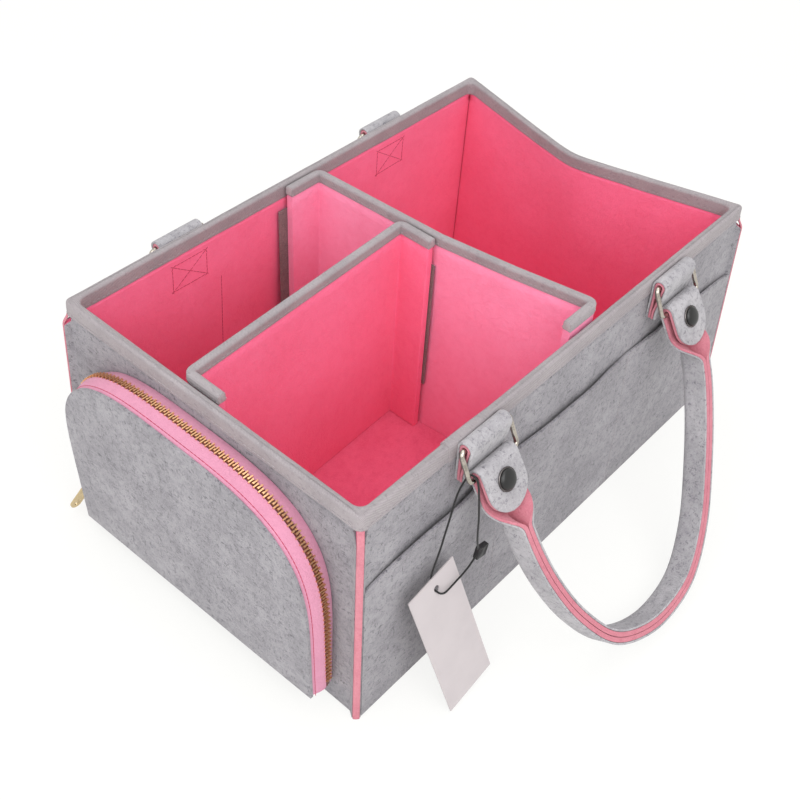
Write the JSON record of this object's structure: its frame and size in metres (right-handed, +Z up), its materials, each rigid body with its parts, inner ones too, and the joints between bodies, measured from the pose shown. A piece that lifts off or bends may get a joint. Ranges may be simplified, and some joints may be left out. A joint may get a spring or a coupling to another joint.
{
  "type": "diaper caddy",
  "caption": "Open felt nursery caddy with lift-out dividers, side pockets, a zip pouch on one end, ring-hung strap handles and a hang tag.",
  "frame": {"origin": "centre of the caddy's flat underside, at floor height", "axes": "+X along the length from the zip pouch to the plain end, +Y across from the tag side to the other long side, +Z up"},
  "size_m": [0.4145, 0.4604, 0.177],
  "materials": {
    "grey_felt": "matte grey melange felt",
    "pink_lining": "matte pink felt",
    "pink_gusset": "matte light pink cloth",
    "grey_tape": "matte woven tape",
    "hook_strip": "matte hook strip",
    "ring_chrome": "bright plated wire",
    "snap_black": "satin black cap",
    "snap_rim": "bright plated",
    "zip_copper": "bright copper tone",
    "zip_gold": "bright gold tone",
    "tag_card": "blank coated card",
    "tag_cord": "thin black cord",
    "tag_seal": "black seal"
  },
  "bodies": {
    "caddy": {"floor_felt": "grey_felt", "floor_lining": "pink_lining", "wall_near_felt": "grey_felt", "wall_near_lining": "pink_lining", "wall_far_felt": "grey_felt", "wall_far_lining": "pink_lining", "wall_zip_end_felt": "grey_felt", "wall_zip_end_lining": "pink_lining", "wall_plain_end_felt": "grey_felt", "wall_plain_end_lining": "pink_lining", "rim_binding": "grey_tape", "side_pocket_near": "grey_felt", "side_pocket_far": "grey_felt", "pouch_gusset_back": "pink_gusset", "zip_chain_back": "zip_copper", "loop_near_left_felt": "grey_felt", "loop_near_left_lining": "pink_lining", "loop_near_right_felt": "grey_felt", "loop_near_right_lining": "pink_lining", "loop_far_left_felt": "grey_felt", "loop_far_left_lining": "pink_lining", "loop_far_right_felt": "grey_felt", "loop_far_right_lining": "pink_lining"},
    "ring_near_left": {"ring_near_left": "ring_chrome"},
    "ring_near_right": {"ring_near_right": "ring_chrome"},
    "ring_far_left": {"ring_far_left": "ring_chrome"},
    "ring_far_right": {"ring_far_right": "ring_chrome"},
    "handle_near": {"handle_near_felt": "grey_felt", "handle_near_lining": "pink_lining", "snap_rim_near_left": "snap_rim", "snap_cap_near_left": "snap_black", "snap_rim_near_right": "snap_rim", "snap_cap_near_right": "snap_black"},
    "handle_far": {"handle_far_felt": "grey_felt", "handle_far_lining": "pink_lining", "snap_rim_far_left": "snap_rim", "snap_cap_far_left": "snap_black", "snap_rim_far_right": "snap_rim", "snap_cap_far_right": "snap_black"},
    "tag": {"hang_tag": "tag_card", "tag_cord": "tag_cord", "tag_seal": "tag_seal"},
    "cross_divider": {"cross_divider_panel": "pink_lining", "cross_divider_binding": "grey_tape", "hook_strip_cross_near": "hook_strip", "hook_strip_cross_far": "hook_strip"},
    "partition": {"partition_panel": "pink_lining", "partition_binding": "grey_tape", "hook_strip_partition_front": "hook_strip", "hook_strip_partition_back": "hook_strip"},
    "pouch_lid": {"pouch_front": "grey_felt", "pouch_gusset_front": "pink_gusset", "zip_chain_front": "zip_copper"},
    "zip_slider": {"zip_slider": "zip_gold"},
    "zip_pull": {"zip_pull": "zip_gold"}
  },
  "joints": [
    {"name": "ring_near_left_swing", "type": "hinge", "parent": "caddy", "child": "ring_near_left", "pos_m": [-0.098, -0.12404, 0.1657], "axis": [1, 0, 0], "range_deg": [-173, 0]},
    {"name": "ring_near_right_swing", "type": "hinge", "parent": "caddy", "child": "ring_near_right", "pos_m": [0.092, -0.12404, 0.1657], "axis": [1, 0, 0], "range_deg": [-173, 0]},
    {"name": "handle_near_swing", "type": "hinge", "parent": "ring_near_left", "child": "handle_near", "pos_m": [-0.098, -0.13243, 0.14865], "axis": [1, 0, 0], "range_deg": [-10, 0]},
    {"name": "ring_far_left_swing", "type": "hinge", "parent": "caddy", "child": "ring_far_left", "pos_m": [-0.098, 0.12419, 0.1627], "axis": [-1, 0, 0], "range_deg": [-173, 0]},
    {"name": "ring_far_right_swing", "type": "hinge", "parent": "caddy", "child": "ring_far_right", "pos_m": [0.092, 0.12419, 0.1627], "axis": [-1, 0, 0], "range_deg": [-173, 0]},
    {"name": "handle_far_swing", "type": "hinge", "parent": "ring_far_left", "child": "handle_far", "pos_m": [-0.098, 0.13257, 0.14565], "axis": [-1, 0, 0], "range_deg": [-10, 0]},
    {"name": "tag_swing", "type": "hinge", "parent": "ring_near_left", "child": "tag", "pos_m": [-0.1152, -0.13243, 0.14865], "axis": [1, 0, 0], "range_deg": [0, 156], "deforming": ["tag_cord"]},
    {"name": "cross_divider_lift", "type": "slide", "parent": "caddy", "child": "cross_divider", "axis": [0, 0, 1], "range_m": [0, 0.18]},
    {"name": "partition_lift", "type": "slide", "parent": "caddy", "child": "partition", "axis": [0, 0, 1], "range_m": [0, 0.18]},
    {"name": "pouch_lid_hinge", "type": "hinge", "parent": "caddy", "child": "pouch_lid", "pos_m": [-0.2073, 0, 0.005], "axis": [0, -1, 0], "range_deg": [0, 75]},
    {"name": "zip_slide", "type": "slide", "parent": "caddy", "child": "zip_slider", "axis": [0.0031, -0.0302, 0.9995], "range_m": [0, 0.035]},
    {"name": "zip_pull_swing", "type": "hinge", "parent": "zip_slider", "child": "zip_pull", "pos_m": [-0.19963, 0.1127, 0.02012], "axis": [0.7861, 0.0186, -0.6178], "range_deg": [0, 30]}
  ],
  "couplings": [
    {"joint": "ring_near_right_swing", "follows": "ring_near_left_swing", "ratio": 1},
    {"joint": "ring_far_right_swing", "follows": "ring_far_left_swing", "ratio": 1},
    {"joint": "tag_swing", "follows": "ring_near_left_swing", "ratio": -0.9}
  ]
}
